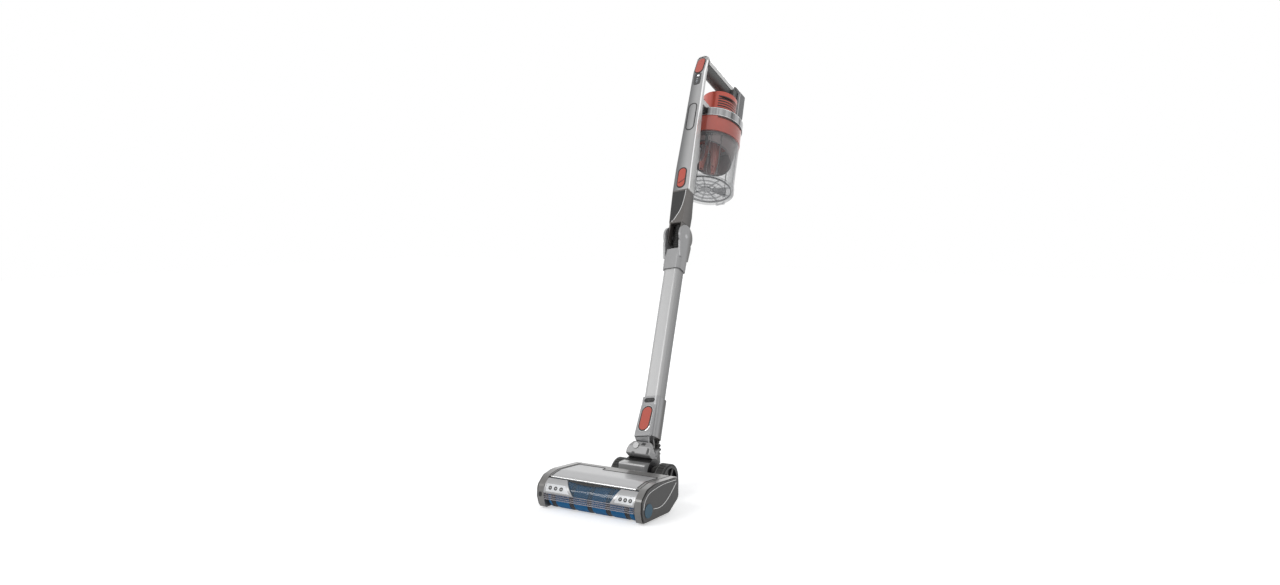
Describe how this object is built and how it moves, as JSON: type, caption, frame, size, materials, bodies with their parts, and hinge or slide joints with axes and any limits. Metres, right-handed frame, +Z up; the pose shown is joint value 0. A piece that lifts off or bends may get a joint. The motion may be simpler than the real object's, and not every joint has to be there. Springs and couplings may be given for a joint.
{
  "type": "cordless stick vacuum",
  "caption": "Upright cordless vacuum cleaner: lit floor head with soft roller and brush, steering neck, folding wand and handheld unit with cyclone cup and battery.",
  "frame": {"origin": "centre of the middle sole pad, on the floor under the floor head", "axes": "+X to the right across the head, -Y forward, +Z up"},
  "size_m": [0.3136, 0.9006, 1.0255],
  "materials": {
    "dark_plastic": "fine moulded grain",
    "black_plastic": "moulded black",
    "gunmetal_plastic": "pearl gunmetal, satin gloss",
    "silver_panel": "satin metallic paint",
    "silver_tube": "satin anodised",
    "clear_plastic": "clear polycarbonate",
    "bright_trim": "bright plated",
    "lamp_lens": "frosted, lit",
    "steel": "plain steel",
    "black_rubber": "matt rubber",
    "felt": "felted",
    "blue_pile": "short soft nap",
    "bristle": "nylon bristle",
    "blue_plastic": "gloss",
    "orange_plastic": "gloss, two tone",
    "satin_grey": "satin grey",
    "bright_shell": "bright silver gloss",
    "display_glass": "black gloss window",
    "grip_rubber": "soft touch",
    "orange_metallic": "pearl orange",
    "orange_clear": "tinted clear orange",
    "amber_clear": "tinted brown",
    "battery_grey": "moulded grey",
    "cell_wrap": "shrink wrap"
  },
  "bodies": {
    "head": {"chassis": "dark_plastic", "rear_cover": "gunmetal_plastic", "top_panel": "silver_panel", "roller_window": "clear_plastic", "bumper_strip": "clear_plastic", "headlights": "bright_trim", "headlight_lenses": "lamp_lens", "end_cap_left": "gunmetal_plastic", "end_cap_right": "gunmetal_plastic", "side_panel_left": "dark_plastic", "side_panel_right": "dark_plastic", "drive_motor": "steel", "drive_belts": "black_rubber", "roller_bearings": "steel", "sole_pads": "felt", "head_screws": "steel", "neck_cradle": "dark_plastic", "saddle_block": "silver_panel", "wheel_axles": "steel"},
    "soft_roller": {"roller_core": "dark_plastic", "roller_sleeve": "blue_pile"},
    "brushroll": {"brush_core": "black_plastic", "brush_bristles": "bristle"},
    "drive_pulley": {"motor_pulley": "steel"},
    "wheel_left": {"wheel_hub_left": "dark_plastic", "tyre_left": "black_rubber"},
    "wheel_right": {"wheel_hub_right": "dark_plastic", "tyre_right": "black_rubber"},
    "roller_button": {"roller_button": "blue_plastic"},
    "neck": {"neck_barrel": "black_plastic", "neck_yoke": "gunmetal_plastic", "neck_pins": "steel", "neck_hose": "black_rubber"},
    "wand": {"lower_collar": "gunmetal_plastic", "wand_tube": "silver_tube", "upper_collar": "gunmetal_plastic", "fold_pins": "steel", "flex_hose": "black_rubber"},
    "wand_button": {"wand_button": "orange_plastic"},
    "handheld": {"spine_base": "gunmetal_plastic", "spine_front": "satin_grey", "spine_body": "bright_shell", "display_panel": "display_glass", "handle_shell": "bright_shell", "handle_grip": "grip_rubber", "motor_housing": "orange_metallic", "chrome_band": "bright_trim", "cup_ring": "orange_clear", "cup_filter": "felt", "cyclone_shroud": "dark_plastic", "cyclone_cones": "amber_clear", "motor_stator": "steel"},
    "fold_latch": {"fold_latch": "black_plastic"},
    "release_button": {"release_button": "orange_plastic"},
    "power_button": {"power_button": "orange_plastic"},
    "motor_rotor": {"motor_rotor": "steel"},
    "dust_cup": {"dust_cup": "clear_plastic"},
    "cup_door": {"cup_door": "clear_plastic"},
    "battery": {"battery_case": "battery_grey", "battery_cells": "cell_wrap"}
  },
  "joints": [
    {"name": "soft_roller_spin", "type": "hinge", "parent": "head", "child": "soft_roller", "pos_m": [0, -0.09108, 0.031], "axis": [1, 0, 0], "continuous": true},
    {"name": "brushroll_spin", "type": "hinge", "parent": "head", "child": "brushroll", "pos_m": [0, -0.0325, 0.0245], "axis": [1, 0, 0], "continuous": true},
    {"name": "drive_pulley_spin", "type": "hinge", "parent": "head", "child": "drive_pulley", "pos_m": [0, -0.00025, 0.05125], "axis": [1, 0, 0], "continuous": true},
    {"name": "wheel_left_roll", "type": "hinge", "parent": "head", "child": "wheel_left", "pos_m": [0, 0.092, 0.037], "axis": [1, 0, 0], "continuous": true},
    {"name": "wheel_right_roll", "type": "hinge", "parent": "head", "child": "wheel_right", "pos_m": [0, 0.092, 0.037], "axis": [1, 0, 0], "continuous": true},
    {"name": "roller_button_press", "type": "slide", "parent": "head", "child": "roller_button", "axis": [-1, 0, 0], "range_m": [0, 0.003], "stiffness_N_per_m": 900},
    {"name": "neck_pitch", "type": "hinge", "parent": "head", "child": "neck", "pos_m": [0, 0.082, 0.054], "axis": [1, 0, 0], "range_deg": [-46, 29]},
    {"name": "neck_steer", "type": "hinge", "parent": "neck", "child": "wand", "pos_m": [0, 0.10721, 0.09948], "axis": [0, -0.9945, -0.1045], "range_deg": [-44, 26]},
    {"name": "wand_button_press", "type": "slide", "parent": "wand", "child": "wand_button", "axis": [0.0897, 0.8739, -0.4778], "range_m": [0, 0.0015], "stiffness_N_per_m": 800},
    {"name": "fold", "type": "hinge", "parent": "wand", "child": "handheld", "pos_m": [-0.06815, 0.36074, 0.55876], "axis": [0.9877, -0.0164, 0.1556], "range_deg": [0, 105], "deforming": ["flex_hose"]},
    {"name": "fold_latch_press", "type": "hinge", "parent": "handheld", "child": "fold_latch", "pos_m": [-0.07361, 0.40814, 0.59839], "axis": [0.9877, -0.0164, 0.1556], "range_deg": [0, 7], "stiffness_Nm_per_rad": 1.5},
    {"name": "release_button_press", "type": "slide", "parent": "handheld", "child": "release_button", "axis": [0.0897, 0.8739, -0.4778], "range_m": [0, 0.002], "stiffness_N_per_m": 800},
    {"name": "power_button_press", "type": "slide", "parent": "handheld", "child": "power_button", "axis": [0.1116, 0.7707, -0.6273], "range_m": [0, 0.0015], "stiffness_N_per_m": 800},
    {"name": "motor_spin", "type": "hinge", "parent": "handheld", "child": "motor_rotor", "pos_m": [-0.11189, 0.64558, 0.86642], "axis": [-0.1281, 0.4859, 0.8646], "continuous": true},
    {"name": "cup_slide", "type": "slide", "parent": "handheld", "child": "dust_cup", "axis": [0.1281, -0.4859, -0.8646], "range_m": [0, 0.06]},
    {"name": "cup_door_swing", "type": "hinge", "parent": "dust_cup", "child": "cup_door", "pos_m": [-0.07708, 0.59736, 0.64035], "axis": [0.9877, -0.0164, 0.1556], "range_deg": [0, 95]},
    {"name": "battery_slide", "type": "slide", "parent": "handheld", "child": "battery", "axis": [-0.1281, 0.4859, 0.8646], "range_m": [0, 0.08]}
  ],
  "couplings": [
    {"joint": "brushroll_spin", "follows": "soft_roller_spin", "ratio": 1.5556},
    {"joint": "drive_pulley_spin", "follows": "soft_roller_spin", "ratio": 2.8519}
  ]
}
